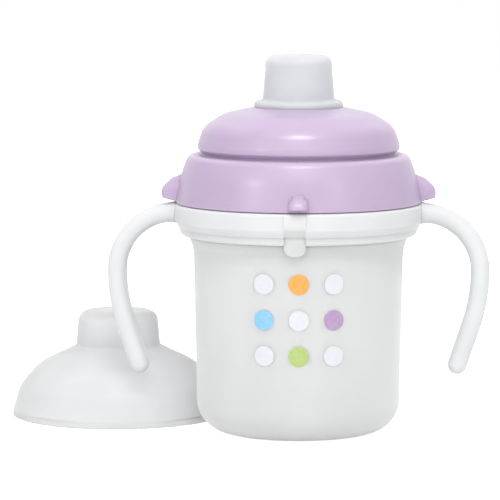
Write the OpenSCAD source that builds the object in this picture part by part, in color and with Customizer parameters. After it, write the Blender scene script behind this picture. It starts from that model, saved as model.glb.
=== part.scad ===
// Two-handled training cup with a screw lid, a soft spout and a clear overcap.
// Origin: centre of the underside of the cup. +Z up, +X towards the right handle, -Y to the front.

/* [Cup] */
// Radius of the cup's outside at the foot of its wall
cup_foot_r = 37; // [35:0.1:37.2]
// Radius of the cup's outside just under the handle ring
cup_top_r = 38; // [37.6:0.1:38.4]
// Radius of the round between the base and the wall
cup_base_round = 11.5; // [9:0.5:12]
// Thickness of the cup's wall
cup_wall = 1.7; // [1.4:0.1:1.9]
// Thickness of the cup's floor
cup_floor = 2; // [1.5:0.1:3]
// Height of the ledge that carries the handle ring
ledge_z = 71.6; // [69:0.1:74]
// Radius of the ledge's outer edge
ledge_r = 39.6; // [39.2:0.1:41]
// Outer radius of the neck
neck_r = 37; // [36.6:0.1:37.2]
// Height of the neck above the ledge
neck_h = 25.8; // [25:0.1:26]

/* [Handle ring] */
// Outer radius of the ring's band
ring_r = 44.95; // [44.5:0.05:45.5]
// Height of the ring
ring_h = 11.1; // [10.5:0.1:11.2]
// Distance from the cup's axis to the middle of the handle at its widest
handle_reach = 66; // [62:0.1:70]
// Thickness of the handle seen from the front
handle_t = 6.8; // [5.6:0.1:7.2]
// Depth of the handle from front to back
handle_d = 10.4; // [8:0.1:12]
// Radius of the long lower bend of the handle
handle_bend_r = 62; // [55:1:80]
// Length of the straight end of the handle
handle_end = 15.2; // [8:0.1:20]

/* [Lid] */
// Outer radius of the lid at its lower edge
lid_r = 44.5; // [44.4:0.1:45.4]
// Radius of the rim of the dome, which the overcap snaps over
dome_r = 36.65; // [36.4:0.05:37.1]
// Wall thickness of the lid
lid_wall = 2.1; // [1.6:0.1:2.4]
// Angle at which the screwed-down lid's front lug stops
lid_turn = 1.6; // [-10:0.1:10]
// Radius of the four grip lugs
lug_r = 3.5; // [2.5:0.1:4]

/* [Thread] */
// Rise of the lid for one full turn
thread_lead = 10; // [8:0.5:12]
// Number of thread starts
thread_starts = 2; // [2:1:3]
// Angle that each thread ridge spans
thread_span = 160; // [100:10:170]
// Radial height of a thread ridge
thread_h = 1.3; // [0.9:0.1:1.4]

/* [Spout] */
// Outer radius of the spout at its foot
spout_r = 13; // [12.6:0.1:13.8]
// Outer radius of the spout at its top corner
spout_tip_r = 11.8; // [11.2:0.1:12.5]
// Height of the spout's top above the lid
spout_h = 19; // [16:0.1:20]
// Radius of the flange that rests on the lid
flange_r = 16.2; // [15.6:0.1:17]
// Wall thickness of the spout
spout_wall = 2; // [1.6:0.1:2.4]

/* [Overcap] */
// Outer radius of the overcap's rim
cap_r = 39.7; // [39.4:0.1:40.2]
// Height of the overcap
cap_h = 39.4; // [39:0.1:42]
// Wall thickness of the overcap
cap_wall = 1.5; // [1.2:0.1:1.6]
// Distance from the cup's axis to the overcap standing beside it
cap_distance = 77.4; // [77.2:0.1:100]
// Direction in which the overcap stands
cap_bearing = 152.7; // [145:0.1:160]

/* [Hidden] */
$fn = 96;
arc_steps = 6;          // straight pieces in each rounded corner of an outline
gap = 0.1;              // clearance between pieces that rest on each other
neck_play = 0.4;        // radial clearance round the neck

// Cup
rim_z = ledge_z + neck_h;
neck_in_r = neck_r - cup_wall;
key_w = 7.8;            // width of the key that stops the ring turning
key_drop = 3.8;         // how far the key hangs below the ledge
key_rise = 2.6;         // how far the key stands above the ledge
key_r = 43.1;           // radius of the key's face
key_corner = 3;
pad_r = 9;              // radius of the pad in the middle of the base
stand_r = 21.4;         // inner radius of the flat ring that the cup stands on
base_recess = 0.8;      // depth of the hollow ring between the two
barrel_z = 22;          // height from which the wall is nearly straight
taper_drop = 28;        // how far below the ledge the wall starts to widen
slab = 120;             // wider than the cup, for slices across it
thread_z = ledge_z + 16.6;   // middle of a neck ridge at its lower end

// Handle ring
ring_z = ledge_z + gap;
ring_in_r = neck_r + neck_play;
ring_top = ring_z + ring_h;
step_z = ring_z + 2.9;       // where the lip ends and the wide band starts
lip_r = 43.2;                // radius of the narrow lip under the band
band_in_r = 42.7;            // inner radius of the wide band
sleeve_r = 39.4;             // outer radius of the sleeve round the neck
channel_z = ring_z + 2.4;    // bottom of the channel between sleeve and band
notch_play = 0.25;           // clearance on each side of a key
handle_top_r = 21.1;         // radius of the handle's upper bend
handle_top_x = handle_reach - handle_top_r;
handle_top_z = ring_top - handle_t / 2 - handle_top_r + 0.2;
handle_tilt = 18.7;          // lean of the handle's straight end
handle_step = 0.12;          // how much fuller each stretch of the handle is than the one before
handle_lap = 0.6;            // how far one stretch runs into the next
handle_root = 1.6;           // length of the stretch that is buried in the band
handle_round = handle_t / 2 - 0.2;   // rounding of the handle's section
rib_out = 0.7;               // how far the front rib stands out of the band

// Lid
lid_z = ring_top + 1.1;
shoulder_z = lid_z + 16.8;
deck_z = rim_z + 1.6;        // underside of the lid's shoulder, above the gasket
groove_r = dome_r - 2.05;
dome_z = shoulder_z + 2.2;
seat_z = dome_z + 15.2;      // flat on top of the dome that the spout rests on
collar_r = neck_r + 1.8;     // inner wall of the lid round the neck
collar_wall = 2;
pocket_h = 8.3;              // depth of the hollow between collar and skirt
web_h = 3.4;                 // thickness of the lid where the skirt meets the dome
bore_r = groove_r - lid_wall + 0.1;
spout_hole_r = 11;
vent_hole_r = 1.7;
vent_y = 21;                 // distance of the air vent behind the cup's axis
vent_boss_r = 3.4;
vent_boss_top = seat_z - 0.2;
vent_boss_low = seat_z - lid_wall - 1.7;
lug_out_r = lid_r + 5.3;     // how far out the lugs at the sides reach
mark_out_r = lid_r + 4;      // how far out the smaller lugs at the front and back reach
mark_scale = 0.58;           // height of the smaller lugs against that of the side lugs
lug_z = lid_z + 0.1;         // underside of the lugs

// Spout and valves
spout_z = seat_z + gap;
spout_top = spout_z + spout_h;
flange_h = 2.4;
seat_under = seat_z - lid_wall - 0.1;
spout_neck_r = spout_hole_r - 0.2;
spout_bore_r = 8.8;
barb_r = 13.2;               // lip that holds the spout under the lid
barb_drop = 5;               // how far the spout hangs below its flange
slit_l = 6;
slit_w = 0.4;
valve_r = 11;                // flange of the valve under the spout's foot
valve_in_r = 6.9;
valve_low = spout_z - 7.4;

// Overcap
cap_tube_r = 15.8;           // radius of the overcap's tube where it leaves the dome
cap_tube_z = 26.1;

function unit(v) = v / norm(v);

// Arc of radius r that rounds corner b between its neighbours a and c
function corner_arc(a, b, c, r) =
    let (
        u = unit(a - b),
        w = unit(c - b),
        half = acos(u * w) / 2,
        centre = b + unit(u + w) * r / sin(half),
        start = b + u * r / tan(half) - centre,
        stop = b + w * r / tan(half) - centre,
        a0 = atan2(start.y, start.x),
        turn = (atan2(stop.y, stop.x) - a0 + 540) % 360 - 180
    )
    [for (i = [0:arc_steps]) centre + r * [cos(a0 + turn * i / arc_steps), sin(a0 + turn * i / arc_steps)]];

function flat(p) = [p.x, p.y];

// Closed outline from corners [x, y, radius], where a radius of 0 leaves the corner sharp
function rounded(path) =
    let (n = len(path))
    [for (i = [0:n - 1]) each (path[i].z == 0
        ? [flat(path[i])]
        : corner_arc(flat(path[(i + n - 1) % n]), flat(path[i]), flat(path[(i + 1) % n]), path[i].z))];

// Solid turned about the Z axis from rounded corners [radius, height, corner radius]
module turned(path) {
    rotate_extrude() polygon(rounded(path));
}

// One helical ridge on a wall of radius root, its crest thread_h away on the side given by out
module thread_ridge(root, out, z) {
    ring_step = 5;
    rings = thread_span / ring_step;
    bite = 0.3;
    foot = 0.85;
    crest = 0.45;
    section = [[-bite * out, -foot], [thread_h * out, -crest], [thread_h * out, crest], [-bite * out, foot]];
    points = [for (k = [0:rings], s = section)
        let (
            a = k * ring_step,
            taper = min(1, k / 2, (rings - k) / 2),
            r = root + (s.x * out > 0 ? s.x * max(taper, 0.05) : s.x)
        )
        [r * cos(a), r * sin(a), z + thread_lead * a / 360 + s.y * max(taper, 0.3)]];
    order = out > 0 ? [0, 1, 2, 3] : [3, 2, 1, 0];
    sides = [for (k = [0:rings - 1], i = [0:3])
        let (p = order[i], q = order[(i + 1) % 4])
        [4 * k + p, 4 * k + q, 4 * k + 4 + q, 4 * k + 4 + p]];
    first = [for (i = [3:-1:0]) order[i]];
    last = [for (i = [0:3]) 4 * rings + order[i]];
    polyhedron(points, concat(sides, [first], [last]), convexity = 6);
}

module thread(root, out, z) {
    for (i = [0:thread_starts - 1])
        rotate([0, 0, i * 360 / thread_starts]) thread_ridge(root, out, z);
}

// Slab across the front and the back, seen from the front as the outline of a key
module key_slab(w, low, high, corner) {
    rotate([90, 0, 0])
        linear_extrude(height = slab, center = true)
            polygon(rounded([[-w / 2, low, corner], [w / 2, low, corner], [w / 2, high, 0], [-w / 2, high, 0]]));
}

module cup_shell() {
    turned([
        [0, 0, 0],
        [pad_r, 0, 0],
        [pad_r + base_recess, base_recess, 0],
        [stand_r - base_recess, base_recess, 0],
        [stand_r, 0, 0],
        [cup_foot_r - 0.2, 0, cup_base_round],
        [cup_foot_r + 0.1, barrel_z, 0],
        [cup_foot_r + 0.65, ledge_z - taper_drop, 0],
        [cup_top_r, ledge_z - 8, 12],
        [cup_top_r + 0.5, ledge_z - 4, 4],
        [ledge_r, ledge_z - 0.7, 0.4],
        [ledge_r, ledge_z, 0.3],
        [neck_r, ledge_z, 0.3],
        [neck_r, rim_z, 0.8],
        [neck_in_r, rim_z, 0.8],
        [neck_in_r, ledge_z + 1, 6],
        [cup_top_r - cup_wall, ledge_z - 6, 6],
        [cup_foot_r + 0.65 - cup_wall, ledge_z - taper_drop, 0],
        [cup_foot_r - cup_wall, cup_floor, cup_base_round - cup_wall],
        [0, cup_floor, 0]
    ]);
}

module cup() {
    color([0.88, 0.89, 0.90, 0.6]) {
        cup_shell();
        thread(neck_r, 1, thread_z);
        intersection() {
            turned([
                [neck_r - 0.8, ledge_z - key_drop, 0],
                [key_r, ledge_z - key_drop, 1.4],
                [key_r, ledge_z + key_rise, 0.5],
                [neck_r - 0.8, ledge_z + key_rise, 0]
            ]);
            key_slab(key_w, ledge_z - key_drop, ledge_z + key_rise + 1, key_corner);
        }
    }
}

// Outline of a slice through the handle, with well rounded corners
module handle_section(t) {
    polygon(rounded([
        [-t / 2, -handle_d / 2, handle_round],
        [t / 2, -handle_d / 2, handle_round],
        [t / 2, handle_d / 2, handle_round],
        [-t / 2, handle_d / 2, handle_round]
    ]));
}

// Round tip: half the outline of a slice, turned about its middle
module handle_tip(t) {
    rotate([-90, 0, 0])
        rotate_extrude(angle = 180)
            polygon(rounded([
                [0, -handle_d / 2, 0],
                [t / 2, -handle_d / 2, handle_round],
                [t / 2, handle_d / 2, handle_round],
                [0, handle_d / 2, 0]
            ]));
}

module handle() {
    low_x = handle_reach - handle_bend_r;
    // root, a little fuller than the bend and buried in the band
    translate([handle_top_x - handle_root, 0, handle_top_z + handle_top_r])
        rotate([0, 90, 0])
            linear_extrude(height = handle_root + handle_lap) handle_section(handle_t + 2 * handle_step);
    // upper bend, swept up and in, and lower bend, swept down and in
    translate([handle_top_x, 0, handle_top_z])
        rotate([90, 0, 0])
            rotate_extrude(angle = 90) translate([handle_top_r, 0]) handle_section(handle_t);
    translate([low_x, 0, handle_top_z])
        rotate([-90, 0, 0])
            rotate_extrude(angle = handle_tilt) translate([handle_bend_r, 0]) handle_section(handle_t);
    // straight end leaning in towards the cup, and its tip, each a little fuller than the last
    translate([low_x, 0, handle_top_z])
        rotate([0, handle_tilt, 0])
            translate([handle_bend_r, 0, -handle_end]) {
                linear_extrude(height = handle_end + handle_lap) handle_section(handle_t + handle_step);
                translate([0, 0, handle_lap / 2]) handle_tip(handle_t + 2 * handle_step);
            }
}

module ring_band() {
    turned([
        [ring_in_r, ring_z, 0.3],
        [lip_r, ring_z, 1.8],
        [lip_r + 0.1, step_z, 0],
        [lip_r + 0.5, step_z, 0],
        [ring_r, step_z + 2.6, 2],
        [ring_r, ring_top, 0.7],
        [band_in_r, ring_top, 0.3],
        [band_in_r, channel_z, 0.5],
        [sleeve_r, channel_z, 0.5],
        [sleeve_r, ring_top, 0.3],
        [ring_in_r, ring_top, 0.3]
    ]);
}

module ring_rib() {
    intersection() {
        turned([
            [ring_r - 1, step_z + 0.1, 0],
            [ring_r - 0.6, step_z + 0.1, 0],
            [ring_r + rib_out, step_z + 2.4, 1.5],
            [ring_r + rib_out, ring_top - 0.3, 0.6],
            [ring_r - 1, ring_top - 0.3, 0]
        ]);
        key_slab(key_w, step_z, ring_top, 0);
    }
}

module handle_ring() {
    color([0.96, 0.97, 0.97]) {
        difference() {
            union() {
                ring_band();
                ring_rib();
            }
            // notches that drop over the cup's keys
            key_slab(key_w + 2 * notch_play, ring_z - 1, step_z, 0);
        }
        handle();
        mirror([1, 0, 0]) handle();
    }
}

// Grip lug on the lid's skirt: a slice of a turned bulge, rounded in plan
module lug(out, tall) {
    intersection() {
        turned([
            [collar_r + 2.5, lug_z, 0],
            [out, lug_z, 2 * tall],
            [out, lug_z + 4.9 * tall, 4 * tall],
            [out - 0.83 * (out - lid_r), lug_z + 8.7 * tall, 2 * tall],
            [collar_r + 2.5, lug_z + 9.1 * tall, 0]
        ]);
        linear_extrude(height = slab) {
            translate([out - lug_r, 0]) circle(r = lug_r);
            translate([collar_r + 2, -lug_r]) square([out - lug_r - collar_r - 2, 2 * lug_r]);
        }
    }
}

module lid_shell() {
    turned([
        [collar_r, lid_z, 0.3],
        [lid_r, lid_z, 0.5],
        [lid_r - 2, lid_z + 10.1, 25],
        [lid_r - 4.6, shoulder_z + 0.1, 3],
        [groove_r, shoulder_z, 0.5],
        [groove_r, dome_z, 0.4],
        [dome_r, dome_z, 0.5],
        [dome_r, dome_z + 1.7, 4],
        [dome_r - 2.1, dome_z + 8, 8],
        [dome_r - 9.3, dome_z + 12.8, 16],
        [16.2, seat_z, 3],
        [spout_hole_r, seat_z, 0.3],
        [spout_hole_r, seat_under, 0.3],
        [15.4, seat_under, 2],
        [dome_r - 12.8, seat_under - 1.1, 12],
        [bore_r, dome_z + 7.8, 4],
        [bore_r, deck_z - web_h, 0.4],
        [groove_r - 0.1, deck_z - web_h, 0.5],
        [groove_r - 0.1, deck_z, 0.3],
        [collar_r, deck_z, 0.5]
    ]);
}

// Hollow between the lid's skirt and its threaded collar
module lid_pocket() {
    turned([
        [collar_r + collar_wall, lid_z - 1, 0],
        [collar_r + collar_wall, lid_z + pocket_h, 0.2],
        [lid_r - lid_wall - 0.9, lid_z + pocket_h, 0.3],
        [lid_r - lid_wall, lid_z - 1, 0]
    ]);
}

module lid() {
    color([0.84, 0.75, 0.87])
        rotate([0, 0, lid_turn]) {
            difference() {
                union() {
                    lid_shell();
                    translate([0, vent_y, vent_boss_low])
                        cylinder(r = vent_boss_r, h = vent_boss_top - vent_boss_low);
                    for (side = [0, 180]) {
                        rotate([0, 0, side]) lug(lug_out_r, 1);
                        rotate([0, 0, side + 90]) lug(mark_out_r, mark_scale);
                    }
                }
                lid_pocket();
                translate([0, vent_y, vent_boss_low - 1])
                    cylinder(r = vent_hole_r, h = vent_boss_top - vent_boss_low + 2);
            }
            thread(collar_r, -1, thread_z - 2);
        }
}

module lid_gasket() {
    color([0.93, 0.93, 0.92])
        turned([
            [groove_r + 0.15, rim_z + gap, 0.3],
            [collar_r - 0.3, rim_z + gap, 0.3],
            [collar_r - 0.3, deck_z - gap, 0.3],
            [groove_r + 0.15, deck_z - gap, 0.3]
        ]);
}

module spout() {
    flange_top = spout_z + flange_h;
    color([0.87, 0.88, 0.89, 0.7])
        rotate([0, 0, lid_turn])
            difference() {
                turned([
                    [spout_bore_r, spout_z - barb_drop, 0.3],
                    [barb_r, spout_z - barb_drop, 1],
                    [barb_r, seat_under - 0.2, 0.6],
                    [spout_neck_r, seat_under - 0.2, 0.3],
                    [spout_neck_r, spout_z, 0.3],
                    [flange_r, spout_z, 0.6],
                    [flange_r, flange_top, 1.7],
                    [spout_r + 0.1, flange_top, 1],
                    [spout_tip_r, spout_top - 0.6, 3.2],
                    [0, spout_top, 0],
                    [0, spout_top - spout_wall, 0],
                    [spout_tip_r - spout_wall, spout_top - spout_wall - 0.3, 1.5],
                    [spout_r - spout_wall, flange_top + 0.5, 2],
                    [spout_bore_r, spout_z - 0.6, 1]
                ]);
                translate([0, 0, spout_top - 2])
                    cube([slit_l, slit_w, 8], center = true);
            }
}

// Slit cup that plugs into the spout's foot from inside the lid
module spout_valve() {
    color([0.90, 0.90, 0.90, 0.8])
        rotate([0, 0, lid_turn])
            difference() {
                turned([
                    [valve_in_r, valve_low, 0.3],
                    [valve_r, valve_low, 0.5],
                    [valve_r, valve_low + 2.1, 0.5],
                    [spout_bore_r - 0.1, valve_low + 2.1, 0.3],
                    [spout_bore_r - 0.3, valve_low + 8, 1],
                    [3, valve_low + 9.2, 3],
                    [0, valve_low + 9.2, 0],
                    [0, valve_low + 8.2, 0],
                    [valve_in_r, valve_low + 6.6, 1.5]
                ]);
                translate([0, 0, valve_low + 8]) cube([5, slit_w, 6], center = true);
            }
}

// Soft plug with a slit at its lower end, which lets air in behind the spout
module vent_valve() {
    under = vent_boss_low - gap;
    color([0.93, 0.93, 0.92])
        rotate([0, 0, lid_turn])
            translate([0, vent_y, 0])
                difference() {
                    turned([
                        [0.6, under - 1.6, 0],
                        [0, under - 1.6, 0],
                        [0, under - 2.6, 0],
                        [1.4, under - 2.6, 0.6],
                        [2.5, under - 0.1, 0.4],
                        [vent_hole_r - 0.1, under - 0.1, 0],
                        [vent_hole_r - 0.1, vent_boss_top + 0.1, 0],
                        [vent_boss_r - 0.6, vent_boss_top + 0.1, 0],
                        [vent_boss_r - 0.8, vent_boss_top + 0.9, 0.5],
                        [0.6, vent_boss_top + 0.9, 0.2]
                    ]);
                    translate([0, 0, under - 2]) cube([1, 0.2, 2], center = true);
                }
}

module overcap() {
    tube_in_r = cap_tube_r - cap_wall;
    color([0.90, 0.90, 0.90, 0.4])
        rotate([0, 0, cap_bearing])
            translate([cap_distance, 0, 0])
                turned([
                    [cap_r, 0, 0.4],
                    [cap_r, 1.6, 6],
                    [cap_r - 2.7, 11, 12],
                    [cap_r - 9.8, 19.2, 15],
                    [cap_tube_r, cap_tube_z, 1.2],
                    [cap_tube_r - 1.1, cap_h - 0.3, 4],
                    [0, cap_h, 0],
                    [0, cap_h - cap_wall, 0],
                    [tube_in_r - 1.1, cap_h - cap_wall - 0.3, 2.6],
                    [tube_in_r, cap_tube_z - 1, 2],
                    [cap_r - 10.6, 17.9, 13],
                    [cap_r - 3.9, 10.3, 10],
                    [cap_r - cap_wall, 2.2, 0],
                    [cap_r - cap_wall - 0.6, 1.5, 0.3],
                    [cap_r - cap_wall, 0.8, 0],
                    [cap_r - cap_wall, 0, 0.4]
                ]);
}

cup();
handle_ring();
lid();
lid_gasket();
spout();
spout_valve();
vent_valve();
overcap();
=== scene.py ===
"""Training cup with a lilac screw lid, seen from the front: its looks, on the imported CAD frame."""

from bisect import bisect_left
from math import atan2, cos, exp, pi, radians, sin, sqrt, tan

import bmesh
import bpy
from mathutils import Matrix, Vector


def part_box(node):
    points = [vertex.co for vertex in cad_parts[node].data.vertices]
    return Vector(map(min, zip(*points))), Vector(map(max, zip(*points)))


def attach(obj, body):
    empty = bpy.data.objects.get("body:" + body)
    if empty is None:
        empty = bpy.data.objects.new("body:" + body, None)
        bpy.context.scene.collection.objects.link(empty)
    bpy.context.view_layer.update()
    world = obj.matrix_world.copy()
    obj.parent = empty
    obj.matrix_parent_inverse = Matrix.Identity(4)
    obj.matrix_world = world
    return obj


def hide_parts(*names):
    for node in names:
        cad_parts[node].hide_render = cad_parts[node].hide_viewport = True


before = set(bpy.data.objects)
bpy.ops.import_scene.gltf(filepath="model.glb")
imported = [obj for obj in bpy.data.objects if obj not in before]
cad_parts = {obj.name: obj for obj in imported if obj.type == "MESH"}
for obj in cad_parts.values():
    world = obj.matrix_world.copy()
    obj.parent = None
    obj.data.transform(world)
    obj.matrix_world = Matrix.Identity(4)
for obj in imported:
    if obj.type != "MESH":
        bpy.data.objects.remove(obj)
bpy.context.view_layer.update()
scene = bpy.context.scene

MM = 0.001
FRONT = -pi / 2  # direction of -Y, where the camera stands
BACK = pi / 2


# ---------------------------------------------------------------- outlines and solids


def rounded(corners, steps=8):
    """Closed outline in mm from corners (across, up, corner radius); radius 0 leaves a corner sharp."""
    points = []
    for i, (x, y, radius) in enumerate(corners):
        here = Vector((x, y))
        if radius == 0:
            points.append(here)
            continue
        to_last = (Vector(corners[i - 1][:2]) - here).normalized()
        to_next = (Vector(corners[(i + 1) % len(corners)][:2]) - here).normalized()
        half = to_last.angle(to_next) / 2
        centre = here + (to_last + to_next).normalized() * radius / sin(half)
        start = here + to_last * radius / tan(half) - centre
        stop = here + to_next * radius / tan(half) - centre
        first = atan2(start.y, start.x)
        turn = (atan2(stop.y, stop.x) - first + 3 * pi) % (2 * pi) - pi
        points += [
            centre + radius * Vector((cos(first + turn * k / steps), sin(first + turn * k / steps)))
            for k in range(steps + 1)
        ]
    return points


def divided(outline, longest):
    """The same outline with every straight stretch cut into pieces no longer than longest."""
    points = []
    for here, after in zip(outline, outline[1:] + outline[:1]):
        pieces = max(1, round((after - here).length / longest))
        points += [here.lerp(after, k / pieces) for k in range(pieces)]
    return points


def outer_radius(outline, height):
    """Largest radius of a turned outline at a height."""
    found = 0.0
    for a, b in zip(outline, outline[1:] + outline[:1]):
        if min(a.y, b.y) <= height <= max(a.y, b.y) and a.y != b.y:
            found = max(found, a.lerp(b, (height - a.y) / (b.y - a.y)).x)
    return found


def angles_round(marks=(), count=180, reach=radians(8), fine=radians(0.3)):
    """Angles of a full turn, set closer together around each mark."""
    angles = {round(2 * pi * k / count, 6) for k in range(count)}
    for mark in marks:
        steps = round(reach / fine)
        low, high = mark - reach, mark + reach
        angles = {
            a for a in angles
            if not low - fine < a < high + fine and not low - fine < a - 2 * pi < high + fine
        }
        angles |= {round((mark + k * fine) % (2 * pi), 6) for k in range(-steps, steps + 1)}
    return sorted(angles)


def as_object(name, bm, crease=35):
    """Object of a bmesh in mm, in the shared frame, smooth except across sharp edges."""
    bmesh.ops.remove_doubles(bm, verts=bm.verts, dist=1e-4)
    bmesh.ops.recalc_face_normals(bm, faces=bm.faces)
    bmesh.ops.scale(bm, vec=(MM, MM, MM), verts=bm.verts)
    mesh = bpy.data.meshes.new(name)
    bm.to_mesh(mesh)
    bm.free()
    mesh.shade_smooth()
    mesh.set_sharp_from_angle(angle=radians(crease))
    obj = bpy.data.objects.new(name, mesh)
    scene.collection.objects.link(obj)
    return obj


def skin(bm, rings, closed=False):
    """Faces between neighbouring rings of points, each ring closed in itself."""
    rows = [[bm.verts.new(p) for p in ring] for ring in rings]
    pairs = list(zip(rows, rows[1:] + rows[:1])) if closed else list(zip(rows, rows[1:]))
    for low, high in pairs:
        for k in range(len(low)):
            after = (k + 1) % len(low)
            corners = [low[k], low[after], high[after], high[k]]
            places = []
            for v in corners:
                if all((v.co - w.co).length > 1e-6 for w in places):
                    places.append(v)
            if len(places) > 2:
                bm.faces.new(places)


def turned(bm, outline, angles, shape=None, centre=(0, 0)):
    """Turns a closed outline about a vertical axis. shape(r, z, angle) may give another radius."""
    rings = []
    for a in angles:
        radii = [shape(p.x, p.y, a) if shape else p.x for p in outline]
        rings.append(
            [Vector((centre[0] + r * cos(a), centre[1] + r * sin(a), p.y)) for r, p in zip(radii, outline)]
        )
    skin(bm, rings, closed=True)


def plateau(across, half, soft):
    """1 inside half, 0 outside it, with a smooth step soft wide between."""
    t = min(1.0, max(0.0, (half - abs(across)) / soft + 0.5))
    return t * t * (3 - 2 * t)


def nearest(angle, marks):
    """Signed angle from the nearest mark."""
    return min(((angle - m + pi) % (2 * pi) - pi for m in marks), key=abs)


def raised_patch(bm, outline, direction, layers):
    """Patch on a turned wall, from rings of the outline (scale, radius). A scale of 0 closes it."""
    middle = sum(outline, Vector((0, 0))) / len(outline)
    rings = []
    for scale, radius in layers:
        ring = []
        for p in outline:
            q = middle + (p - middle) * scale
            r = radius(q.y)
            a = direction + q.x / r
            ring.append(Vector((r * cos(a), r * sin(a), q.y)))
        rings.append(ring)
    skin(bm, rings)


# ---------------------------------------------------------------- sizes, from the frame

cup_low, cup_high = (v / MM for v in map(Vector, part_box("cup")))
ring_low, ring_high = (v / MM for v in map(Vector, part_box("handle_ring")))
lid_low, lid_high = (v / MM for v in map(Vector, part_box("lid")))
spout_low, spout_high = (v / MM for v in map(Vector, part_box("spout")))
cap_low, cap_high = (v / MM for v in map(Vector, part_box("overcap")))

neck_h = 25.8
neck_r = 37.0
rim_z = cup_high.z  # top of the cup's neck
ledge_z = rim_z - neck_h  # ledge that carries the handle ring
ring_z = ledge_z + 0.1
ring_top = lid_low.z - 0.6
ring_r = 44.95
step_z = ring_z + 2.9  # where the ring's lip ends and its wide band starts
handle_t = 6.8  # thickness of a handle seen from the front
handle_d = 10.4  # depth of a handle from front to back
lid_z = lid_low.z - 0.35  # lower edge of the skirt
lid_r = 44.5
collar_r = neck_r + 1.8  # inner wall of the lid round the neck
dome_h = 15.2
seat_z = lid_high.z  # flat on the lid that the spout rests on
dome_z = seat_z - dome_h
dome_r = 36.65
shoulder_z = dome_z - 1.95
groove_r = dome_r - 1.75
lug_z = lid_z + 0.45  # underside of the grip lugs
lug_out_r = 49.8
lug_h = 9.8
spout_z = seat_z + 0.1
spout_top = spout_high.z
lid_turn = radians(1.6)  # angle at which the screwed-down lid stops
thread_lead = 10.0  # rise of the lid for one full turn
key_w = 7.8  # width of the cup's keys and of the ring's ribs
key_r = 43.1
cap_centre = ((cap_low.x + cap_high.x) / 2, (cap_low.y + cap_high.y) / 2)
cap_r = (cap_high.x - cap_low.x) / 2
cap_top = cap_high.z


# ---------------------------------------------------------------- pieces


def cup_outline():
    wall = 1.7
    foot = 37.0
    floor = 2.0
    return rounded([
        (0, 0, 0), (9, 0, 0.2), (9.8, 0.8, 0.3), (20.6, 0.8, 0.3), (21.4, 0, 0.2),
        (foot - 0.2, 0, 11.5), (foot + 0.1, 22, 0), (foot + 0.65, ledge_z - 28, 0),
        (foot + 1, ledge_z - 8, 12), (foot + 1.5, ledge_z - 4, 4),
        (39.6, ledge_z - 0.7, 0.4), (39.6, ledge_z, 0.3), (neck_r, ledge_z, 0.3),
        (neck_r, rim_z, 0.8), (neck_r - wall, rim_z, 0.8), (neck_r - wall, ledge_z + 1, 6),
        (foot + 1 - wall, ledge_z - 6, 6), (foot + 0.65 - wall, ledge_z - 28, 0),
        (foot - wall, floor, 11.5 - wall), (0, floor, 0),
    ])


def thread_ridge(bm, root, outward, low_z, start):
    """Helical ridge, tapered at both ends."""
    span, steps = radians(160), 48
    ridge_h = 1.3
    side = 1 if outward else -1
    rings = []
    for k in range(steps + 1):
        turn = span * k / steps
        ease = min(1, 6 * k / steps, 6 * (steps - k) / steps)
        high = ridge_h * ease
        section = [
            (-0.3, -0.85), (high * 0.8, -0.5), (high, -0.2),
            (high, 0.2), (high * 0.8, 0.5), (-0.3, 0.85),
        ]
        z = low_z + thread_lead * turn / (2 * pi)
        a = start + turn
        ring = []
        for out, up in section:
            r = root + side * out
            ring.append(Vector((r * cos(a), r * sin(a), z + up * (0.4 + 0.6 * ease))))
        rings.append(ring)
    skin(bm, rings)
    for ring in (rings[0], rings[-1]):
        bm.faces.new([bm.verts.new(p) for p in ring])


def key_outline():
    low, high, half = ledge_z - 3.8, ledge_z + 3.6, key_w / 2
    return rounded([(-half, low, 3), (half, low, 3), (half, high, 0.3), (-half, high, 0.3)])


def key_front(z):
    """Radius of the key's face, which leans back a little towards its foot."""
    return key_r - 0.3 * max(0.0, ledge_z + 2.6 - z)


def make_cup():
    bm = bmesh.new()
    turned(bm, cup_outline(), angles_round(count=200))
    for start in (0, pi):
        thread_ridge(bm, neck_r, True, ledge_z + 16.6, start)
    layers = [
        (1, lambda z: neck_r - 0.8),
        (1, lambda z: key_front(z) - 0.6),
        (0.98, lambda z: key_front(z) - 0.2),
    ]
    layers += [(scale, key_front) for scale in (0.9, 0.6, 0.3, 0)]
    for direction in (FRONT, BACK):
        raised_patch(bm, divided(key_outline(), 0.8), direction, layers)
    return as_object("cup_body_shell", bm)


def ring_outline():
    return divided(rounded([
        (37.4, ring_z, 0.3), (42.7, ring_z, 1.6), (43.3, step_z, 0.1), (43.7, step_z, 0.15),
        (ring_r, step_z + 2.6, 2), (ring_r, ring_top, 1.1), (42.7, ring_top, 0.3),
        (42.7, ring_z + 2.4, 0.5), (39.4, ring_z + 2.4, 0.5), (39.4, ring_top, 0.3),
        (37.4, ring_top, 0.3),
    ], steps=6), 1.2)


def ring_shape(r, z, angle):
    """Adds the rib to the ring's band at the front and back, and the notch under it to its lip."""
    off = nearest(angle, (FRONT, BACK)) * r
    if z > step_z + 0.05:
        if r < 43:
            return r
        rise = min(1.0, (z - step_z) / 4)
        rib = min(r + 0.5, key_r + (ring_r + 0.5 - key_r) * rise * rise * (3 - 2 * rise))
        return r + (rib - r) * plateau(off, key_w / 2, 0.5)
    notch_r = key_r - 0.9
    return r - max(0.0, r - notch_r) * plateau(off, key_w / 2 - 0.1, 0.2)


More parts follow.
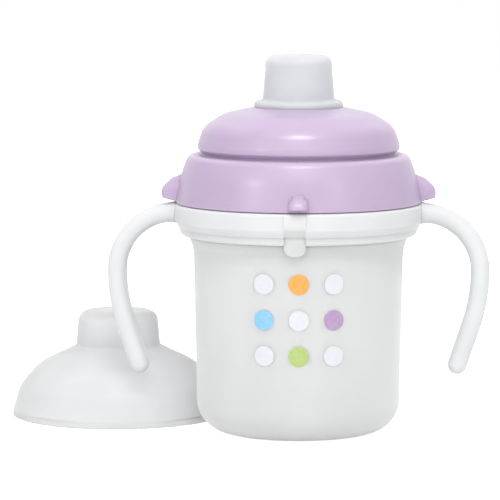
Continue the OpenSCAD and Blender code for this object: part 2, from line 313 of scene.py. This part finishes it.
def handle_stations():
    """Centre line of the right handle as (x, z, direction of travel, scale of the section)."""
    reach = ring_high.x - handle_t / 2
    bend, low_bend, lean, end = 21.1, 62.0, radians(18.7), 15.2
    top_x = reach - bend
    top_z = ring_high.z - handle_t / 2 - bend
    stations = []
    root = 43.2
    for k in range(7):
        x = root + (top_x - root) * k / 7
        stations.append((x, top_z + bend, 0.0, 1.0))
    for k in range(25):
        a = pi / 2 * k / 24
        stations.append((top_x + bend * sin(a), top_z + bend * cos(a), a, 1.0))
    for k in range(1, 9):
        a = lean * k / 8
        stations.append((reach - low_bend + low_bend * cos(a), top_z - low_bend * sin(a), pi / 2 + a, 1.0))
    x, z, travel, _ = stations[-1]
    for k in range(1, 7):
        d = end * k / 6
        stations.append((x + d * cos(travel), z - d * sin(travel), travel, 1.0))
    x, z, travel, _ = stations[-1]
    for k in range(1, 10):
        a = pi / 2 * k / 9
        d = handle_t / 2 * sin(a)
        stations.append((x + d * cos(travel), z - d * sin(travel), travel, cos(a)))
    flare = 1.4
    return [
        (x, z, travel, scale * (1 + 0.12 * exp(-max(0.0, x - ring_r) / flare)) if i < 12 else scale)
        for i, (x, z, travel, scale) in enumerate(stations)
    ]


def make_handle_ring():
    bm = bmesh.new()
    angles = angles_round((FRONT, BACK), reach=radians(7), fine=radians(0.25))
    turned(bm, ring_outline(), angles, ring_shape)
    half_t, half_d = handle_t / 2, handle_d / 2
    corner = half_t - 0.25
    section = rounded([
        (-half_t, -half_d, corner), (half_t, -half_d, corner),
        (half_t, half_d, corner), (-half_t, half_d, corner),
    ], steps=7)
    for side in (1, -1):
        rings = []
        for x, z, travel, scale in handle_stations():
            across = Vector((sin(travel), 0, cos(travel)))
            trim = max(scale, 0.02)
            shrink = half_d - half_t * (1 - trim) if trim < 1 else half_d * trim
            ring = []
            for p in section:
                q = Vector((x, 0, z)) + across * p.x * trim + Vector((0, p.y * shrink / half_d, 0))
                ring.append(Vector((side * q.x, q.y, q.z)))
            rings.append(ring)
        skin(bm, rings)
        bm.faces.new([bm.verts.new(p) for p in rings[-1]])
        bm.faces.new([bm.verts.new(p) for p in rings[0]])
    return as_object("handle_ring_shell", bm)


def lid_outline():
    wall = 2.1
    bore = groove_r - 2.3
    recess = groove_r - 0.4  # inner wall of the recess that holds the gasket
    deck = rim_z + 1.6
    under = seat_z - wall - 0.1
    return divided(rounded([
        (collar_r, lid_z, 0.3), (collar_r + 2, lid_z, 0.3), (collar_r + 2, lid_z + 8.3, 0.5),
        (lid_r - wall - 0.9, lid_z + 8.3, 0.4), (lid_r - wall, lid_z, 0.4),
        (lid_r, lid_z, 0.3), (lid_r - 2, lid_z + 10.5, 25), (lid_r - 4.6, shoulder_z + 0.1, 3),
        (groove_r, shoulder_z, 0.3), (groove_r + 0.2, shoulder_z + 0.7, 0.6), (dome_r, dome_z + 0.1, 0.9),
        (dome_r, dome_z + 1.7, 4), (dome_r - 2.1, dome_z + 8, 8), (dome_r - 9.3, dome_z + 12.8, 16),
        (16.2, seat_z, 3), (11, seat_z, 0.4), (11, under, 0.4), (15.4, under, 2),
        (dome_r - 12.8, under - 1.1, 12), (bore, dome_z + 7.8, 4), (bore, deck - 3.4, 0.4),
        (recess, deck - 3.4, 0.5), (recess, deck, 0.3), (collar_r, deck, 0.5),
    ], steps=7), 1.1)


LUGS = [FRONT + lid_turn + k * pi / 2 for k in range(4)]


def lug_profile():
    """How far out a grip lug reaches at each height."""
    root, out = 38, lug_out_r
    return rounded([
        (root, lug_z, 0), (out, lug_z, 2.2), (out, lug_z + 4.9, 4),
        (out - 4.4, lug_z + 8.8, 3), (root, lug_z + 10.4, 0),
    ])


def lid_shape(skirt):
    """Radius of the lid with its grip lugs, which swell out of the skirt and are shorter front and back."""
    profile = lug_profile()

    def shape(r, z, angle):
        short = abs(nearest(angle, (FRONT, BACK))) < pi / 4
        up = (z - lug_z) * (1.75 if short else 1.0)
        if not 0 <= up < lug_h or r < skirt(z) - 0.75:
            return r
        across = abs(nearest(angle, LUGS)) * lid_r
        rise = min(1.0, max(0.0, (up - 2.5) / (6.3 if short else lug_h - 2.5)))
        half = 3.6 * sqrt(1 - 0.97 * rise ** 2.5)
        body = sqrt(max(0.0, 1 - (across / half) ** 3))
        fillet = 0.12 * exp(-max(0.0, across - half + 0.5) / 0.5)
        reach = (outer_radius(profile, lug_z + up) - r) * (0.75 if short else 1.0)
        return r + max(0.0, reach) * max(body, fillet)

    return shape


def make_lid():
    outline = lid_outline()
    bm = bmesh.new()
    marks = [a % (2 * pi) for a in LUGS]
    turned(bm, outline, angles_round(marks, reach=radians(7.2), fine=radians(0.36)),
           lid_shape(lambda z: outer_radius(outline, z)))
    for start in (0, pi):
        thread_ridge(bm, collar_r, False, ledge_z + 14.6, start + lid_turn)
    return as_object("lid_shell", bm)


def slot_cut(obj, size, centre):
    """Cuts a thin slit, size and centre in mm, through a piece."""
    bm = bmesh.new()
    bmesh.ops.create_cube(bm, size=1)
    bmesh.ops.scale(bm, vec=Vector(size) * MM, verts=bm.verts)
    bmesh.ops.rotate(bm, matrix=Matrix.Rotation(lid_turn, 3, "Z"), verts=bm.verts)
    bmesh.ops.translate(bm, vec=Vector(centre) * MM, verts=bm.verts)
    mesh = bpy.data.meshes.new("slit_tool")
    bm.to_mesh(mesh)
    bm.free()
    tool = bpy.data.objects.new("slit_tool", mesh)
    scene.collection.objects.link(tool)
    cut = obj.modifiers.new("slit", "BOOLEAN")
    cut.operation = "DIFFERENCE"
    cut.object = tool
    bpy.context.view_layer.update()
    shown = obj.evaluated_get(bpy.context.evaluated_depsgraph_get())
    obj.data = bpy.data.meshes.new_from_object(shown)
    obj.modifiers.clear()
    bpy.data.objects.remove(tool)


def make_spout():
    flange_top = spout_z + 2.4
    foot, tip, wall, bore = 13.1, 11.8, 2.0, 8.8
    under = seat_z - 2.2
    outline = rounded([
        (bore, spout_z - 5, 0.3), (13.2, spout_z - 5, 1), (13.2, under - 0.2, 0.6),
        (10.8, under - 0.2, 0.3), (10.8, seat_z, 0.3), (16.2, seat_z - 0.15, 0.3),
        (16.2, flange_top, 1.7), (foot, flange_top, 1.2), (tip, spout_top - 0.6, 3.2),
        (0, spout_top, 0), (0, spout_top - wall, 0), (tip - wall, spout_top - wall - 0.3, 1.5),
        (foot - 0.1 - wall, flange_top + 0.5, 2), (bore, spout_z - 0.6, 1),
    ])
    bm = bmesh.new()
    turned(bm, outline, angles_round(count=128))
    spout = as_object("spout_shell", bm)
    slot_cut(spout, (6, 0.4, 8), (0, 0, spout_top - 2))
    spout.data.shade_smooth()
    spout.data.set_sharp_from_angle(angle=radians(40))
    return spout


def make_overcap():
    wall = 1.5
    tube = 15.8
    tube_z = 26.1
    outline = rounded([
        (cap_r, 0, 0.4), (cap_r, 1.6, 6), (cap_r - 2.7, 11, 12), (cap_r - 9.8, 19.2, 15),
        (tube, tube_z, 1.2), (tube - 1.1, cap_top - 0.3, 4), (0, cap_top, 0),
        (0, cap_top - wall, 0), (tube - wall - 1.1, cap_top - wall - 0.3, 2.6),
        (tube - wall, tube_z - 1, 2), (cap_r - 10.6, 17.9, 13), (cap_r - 3.9, 10.3, 10),
        (cap_r - wall, 2.2, 0), (cap_r - wall - 0.6, 1.5, 0.3), (cap_r - wall, 0.8, 0),
        (cap_r - wall, 0, 0.4),
    ])
    bm = bmesh.new()
    turned(bm, outline, angles_round(count=200), centre=cap_centre)
    return as_object("overcap_shell", bm)


DOT_COLOURS = {
    "orange": (0.75, 0.30, 0.04),
    "blue": (0.19, 0.44, 0.65),
    "purple": (0.355, 0.23, 0.40),
    "green": (0.34, 0.455, 0.125),
    "white": (0.57, 0.575, 0.615),
}
DOT_ROWS = [("white", "orange", "white"), ("blue", "white", "purple"), ("white", "green", "white")]


def make_dots(inks):
    """Three rows of three printed dots on the front of the cup."""
    outline = cup_outline()
    dot_r, spacing_z, top_z = 3.63, 12.85, ledge_z - 14.0
    spread, centre = radians(19.24), FRONT + radians(2.05)
    circle_points = 40
    for row, colours in enumerate(DOT_ROWS):
        for column, colour in enumerate(colours):
            z = top_z - row * spacing_z
            turns = [2 * pi * k / circle_points for k in range(circle_points)]
            disc = [Vector((dot_r * cos(a), z + dot_r * sin(a))) for a in turns]
            layers = [(1, lambda z: outer_radius(outline, z) - 0.02)]
            layers += [
                (scale, lambda z: outer_radius(outline, z) + 0.05)
                for scale in (0.99, 0.8, 0.6, 0.4, 0.2, 0)
            ]
            bm = bmesh.new()
            raised_patch(bm, disc, centre + (column - 1) * spread, layers)
            dot = as_object(f"dot_{row + 1}{column + 1}_{colour}", bm)
            dot.data.materials.append(inks[colour])
            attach(dot, "cup_body")


# ---------------------------------------------------------------- materials


class Shader:
    """A Principled material with a few short ways to drive it."""

    def __init__(self, name, **values):
        self.material = bpy.data.materials.new(name)
        self.material.use_nodes = True
        self.tree = self.material.node_tree
        self.tree.nodes.clear()
        self.out = self.tree.nodes.new("ShaderNodeOutputMaterial")
        self.main = self.tree.nodes.new("ShaderNodeBsdfPrincipled")
        self.tree.links.new(self.main.outputs[0], self.out.inputs["Surface"])
        self.place = self.tree.nodes.new("ShaderNodeTexCoord").outputs["Object"]
        for label, value in values.items():
            self.main.inputs[label.replace("_", " ")].default_value = value

    def noise(self, size_mm, detail=3.0, stretch=(1, 1, 1)):
        """Noise whose lumps are about size_mm across."""
        mapping = self.tree.nodes.new("ShaderNodeMapping")
        mapping.inputs["Scale"].default_value = stretch
        self.tree.links.new(self.place, mapping.inputs["Vector"])
        node = self.tree.nodes.new("ShaderNodeTexNoise")
        node.inputs["Scale"].default_value = 1 / (size_mm * MM)
        node.inputs["Detail"].default_value = detail
        self.tree.links.new(mapping.outputs[0], node.inputs["Vector"])
        return node.outputs["Fac"]

    def between(self, factor, low, high):
        """The factor's 0.3 to 0.7 spread over low to high."""
        node = self.tree.nodes.new("ShaderNodeMapRange")
        node.interpolation_type = "SMOOTHSTEP"
        node.inputs["From Min"].default_value = 0.3
        node.inputs["From Max"].default_value = 0.7
        node.inputs["To Min"].default_value = low
        node.inputs["To Max"].default_value = high
        self.tree.links.new(factor, node.inputs["Value"])
        return node.outputs[0]

    def tint(self, factor, low, high):
        """Colour between two tints."""
        node = self.tree.nodes.new("ShaderNodeMix")
        node.data_type = "RGBA"
        self.tree.links.new(self.between(factor, 0, 1), node.inputs["Factor"])
        node.inputs[6].default_value = (*low, 1)
        node.inputs[7].default_value = (*high, 1)
        return node.outputs[2]

    def drive(self, label, socket):
        self.tree.links.new(socket, self.main.inputs[label])

    def bump(self, height, strength, distance_mm):
        node = self.tree.nodes.new("ShaderNodeBump")
        node.inputs["Strength"].default_value = strength
        node.inputs["Distance"].default_value = distance_mm * MM
        self.tree.links.new(height, node.inputs["Height"])
        self.tree.links.new(node.outputs[0], self.main.inputs["Normal"])


def lilac_plastic():
    s = Shader("lilac_moulded_plastic", IOR=1.6, Subsurface_Weight=0.5, Subsurface_Scale=0.004,
               Coat_Weight=0.5, Coat_Roughness=0.45)
    s.main.inputs["Subsurface Radius"].default_value = (1.0, 0.9, 1.0)
    s.drive("Base Color", s.tint(s.noise(14), (0.40, 0.307, 0.447), (0.412, 0.317, 0.459)))
    s.drive("Roughness", s.between(s.noise(9), 0.29, 0.35))
    s.bump(s.noise(4, detail=2), 0.05, 0.01)
    return s.material


def white_plastic():
    s = Shader("white_moulded_plastic", IOR=1.46, Subsurface_Weight=0.5, Subsurface_Scale=0.004)
    s.main.inputs["Subsurface Radius"].default_value = (1.0, 1.0, 1.0)
    s.drive("Base Color", s.tint(s.noise(12), (0.57, 0.58, 0.585), (0.59, 0.60, 0.605)))
    s.drive("Roughness", s.between(s.noise(9), 0.30, 0.37))
    s.bump(s.noise(4, detail=2), 0.05, 0.01)
    return s.material


def frosted_plastic():
    s = Shader("frosted_moulded_plastic", IOR=1.3, Transmission_Weight=0.3,
               Subsurface_Weight=0.8, Subsurface_Scale=0.004,
               Sheen_Weight=0.6, Sheen_Roughness=0.4)
    s.main.inputs["Subsurface Radius"].default_value = (1.0, 1.0, 1.0)
    streaks = s.noise(20, stretch=(1, 1, 0.3))
    s.drive("Base Color", s.tint(streaks, (0.735, 0.747, 0.744), (0.76, 0.772, 0.768)))
    s.drive("Roughness", s.between(s.noise(9), 0.45, 0.55))
    s.bump(s.noise(3, detail=3), 0.05, 0.01)
    return s.material


def clear_plastic():
    s = Shader("hazy_clear_plastic", IOR=1.25, Transmission_Weight=0.75,
               Subsurface_Weight=0.7, Subsurface_Scale=0.003,
               Sheen_Weight=0.35, Sheen_Roughness=0.4)
    s.main.inputs["Subsurface Radius"].default_value = (1.0, 1.0, 1.0)
    s.drive("Base Color", s.tint(s.noise(16), (0.85, 0.855, 0.86), (0.875, 0.88, 0.885)))
    s.drive("Roughness", s.between(s.noise(9), 0.32, 0.42))
    s.bump(s.noise(3, detail=2), 0.05, 0.01)
    return s.material


def spout_silicone():
    s = Shader("translucent_silicone", IOR=1.41, Transmission_Weight=0.3,
               Subsurface_Weight=0.6, Subsurface_Scale=0.004,
               Sheen_Weight=0.3, Sheen_Roughness=0.4)
    s.main.inputs["Subsurface Radius"].default_value = (1.0, 1.0, 1.0)
    s.drive("Base Color", s.tint(s.noise(9), (0.63, 0.64, 0.67), (0.67, 0.68, 0.705)))
    s.drive("Roughness", s.between(s.noise(5), 0.38, 0.48))
    s.bump(s.noise(2, detail=3), 0.06, 0.015)
    return s.material


def seal_silicone():
    s = Shader("milky_silicone", IOR=1.41, Subsurface_Weight=0.25, Subsurface_Scale=0.002)
    s.drive("Base Color", s.tint(s.noise(6), (0.80, 0.80, 0.79), (0.85, 0.85, 0.84)))
    s.drive("Roughness", s.between(s.noise(2), 0.42, 0.55))
    s.bump(s.noise(0.5, detail=4), 0.1, 0.03)
    return s.material


def print_ink(name, colour):
    s = Shader(f"printed_ink_{name}", IOR=1.46)
    paler = tuple(c + (1 - c) * 0.06 for c in colour)
    s.drive("Base Color", s.tint(s.noise(1.5, detail=5), colour, paler))
    s.drive("Roughness", s.between(s.noise(0.8), 0.34, 0.46))
    s.bump(s.noise(0.25, detail=4), 0.1, 0.02)
    return s.material


def floor_paper():
    """Pale paper that looks nearly white but throws little light up."""
    s = Shader("white_floor", Emission_Strength=0.3)
    s.main.inputs["Emission Color"].default_value = (1, 1, 1, 1)
    s.drive("Base Color", s.tint(s.noise(60), (0.60, 0.60, 0.60), (0.63, 0.63, 0.63)))
    s.drive("Roughness", s.between(s.noise(30), 0.85, 0.95))
    glow = s.tree.nodes.new("ShaderNodeEmission")
    glow.inputs["Strength"].default_value = 0.5
    lit = s.tree.nodes.new("ShaderNodeAddShader")
    mix = s.tree.nodes.new("ShaderNodeMixShader")
    seen = s.tree.nodes.new("ShaderNodeLightPath")
    s.tree.links.new(s.main.outputs[0], lit.inputs[0])
    s.tree.links.new(glow.outputs[0], lit.inputs[1])
    s.tree.links.new(seen.outputs["Is Camera Ray"], mix.inputs[0])
    s.tree.links.new(s.main.outputs[0], mix.inputs[1])
    s.tree.links.new(lit.outputs[0], mix.inputs[2])
    s.tree.links.new(mix.outputs[0], s.out.inputs["Surface"])
    return s.material


# ---------------------------------------------------------------- putting it together


def build_object():
    made = [
        (make_cup(), "cup", "cup_body", "frosted_plastic", frosted_plastic()),
        (make_handle_ring(), "handle_ring", "cup_body", "white_plastic", white_plastic()),
        (make_lid(), "lid", "lid_body", "lilac_plastic", lilac_plastic()),
        (make_spout(), "spout", "lid_body", "spout_silicone", spout_silicone()),
        (make_overcap(), "overcap", "overcap_body", "clear_plastic", clear_plastic()),
    ]
    for piece, node, body, slot, material in made:
        piece.data.materials.clear()
        piece.data.materials.append(material)
        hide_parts(node)
        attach(piece, body)
    seal = seal_silicone()
    for node in ("lid_gasket", "spout_valve", "vent_valve"):
        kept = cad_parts[node]
        kept.data.materials.clear()
        kept.data.materials.append(seal)
    make_dots({name: print_ink(name, colour) for name, colour in DOT_COLOURS.items()})


def make_floor():
    bm = bmesh.new()
    bmesh.ops.create_grid(bm, x_segments=24, y_segments=24, size=2500)
    bmesh.ops.translate(bm, vec=(0, 0, -0.02), verts=bm.verts)
    floor = as_object("floor", bm)
    floor.data.materials.append(floor_paper())


def soft_light(name, place, size, power, aim=(0, 0, 60)):
    """Rectangular soft box, place and size in mm, that faces aim."""
    lamp = bpy.data.lights.new(name, "AREA")
    lamp.shape = "RECTANGLE"
    lamp.size, lamp.size_y = size[0] * MM, size[1] * MM
    lamp.energy = power
    obj = bpy.data.objects.new(name, lamp)
    obj.location = Vector(place) * MM
    toward = (Vector(aim) - Vector(place)).normalized()
    obj.rotation_euler = toward.to_track_quat("-Z", "Y").to_euler()
    scene.collection.objects.link(obj)


def make_world():
    """White room, brighter from above and dimmer from the left and right; plain white where it is seen."""
    world = bpy.data.worlds.new("studio")
    world.use_nodes = True
    tree = world.node_tree
    room = tree.nodes["Background"]
    split = tree.nodes.new("ShaderNodeSeparateXYZ")
    tree.links.new(tree.nodes.new("ShaderNodeTexCoord").outputs["Generated"], split.inputs[0])
    sideways = tree.nodes.new("ShaderNodeMath")
    sideways.operation = "ABSOLUTE"
    tree.links.new(split.outputs["X"], sideways.inputs[0])

    def ramp(socket, start, stop, low, high):
        node = tree.nodes.new("ShaderNodeMapRange")
        node.interpolation_type = "SMOOTHSTEP"
        for label, value in (("From Min", start), ("From Max", stop), ("To Min", low), ("To Max", high)):
            node.inputs[label].default_value = value
        tree.links.new(socket, node.inputs["Value"])
        return node.outputs[0]

    both = tree.nodes.new("ShaderNodeMath")
    both.operation = "MULTIPLY"
    tree.links.new(ramp(sideways.outputs[0], 0.3, 1.0, 1.02, 0.66), both.inputs[0])
    tree.links.new(ramp(split.outputs["Z"], 0.0, 0.9, 1.0, 1.4), both.inputs[1])
    tree.links.new(both.outputs[0], room.inputs["Strength"])
    plain = tree.nodes.new("ShaderNodeBackground")
    plain.inputs["Color"].default_value = room.inputs["Color"].default_value = (1, 1, 1, 1)
    seen = tree.nodes.new("ShaderNodeLightPath")
    mix = tree.nodes.new("ShaderNodeMixShader")
    tree.links.new(seen.outputs["Is Camera Ray"], mix.inputs[0])
    tree.links.new(room.outputs[0], mix.inputs[1])
    tree.links.new(plain.outputs[0], mix.inputs[2])
    tree.links.new(mix.outputs[0], tree.nodes["World Output"].inputs["Surface"])
    scene.world = world


def make_light():
    make_world()
    soft_light("key_light", (40, -620, 860), (320, 180), 3.6)
    soft_light("front_light", (20, -900, 60), (900, 240), 0.85)
    soft_light("left_light", (-640, -700, 440), (110, 110), 0.8)
    soft_light("right_light", (640, -760, 420), (120, 120), 0.4)


def make_camera():
    """Long lens a little above the cup's lid, at the photograph's viewing angle."""
    distance, height = 1209.0, 196.0
    turn, down = radians(2.55), radians(6.14)
    right = Vector((cos(turn), sin(turn), 0))
    camera = bpy.data.objects.new("camera", bpy.data.cameras.new("camera"))
    camera.location = (Vector((distance * sin(turn), -distance * cos(turn), height)) - right * 17.6) * MM
    camera.rotation_euler = (pi / 2 - down, 0, turn)
    camera.data.sensor_width = 36
    camera.data.lens = 240.8
    camera.data.clip_start = 0.05
    scene.collection.objects.link(camera)
    scene.camera = camera


make_camera()
build_object()
make_floor()
make_light()
scene.view_settings.view_transform = "Standard"
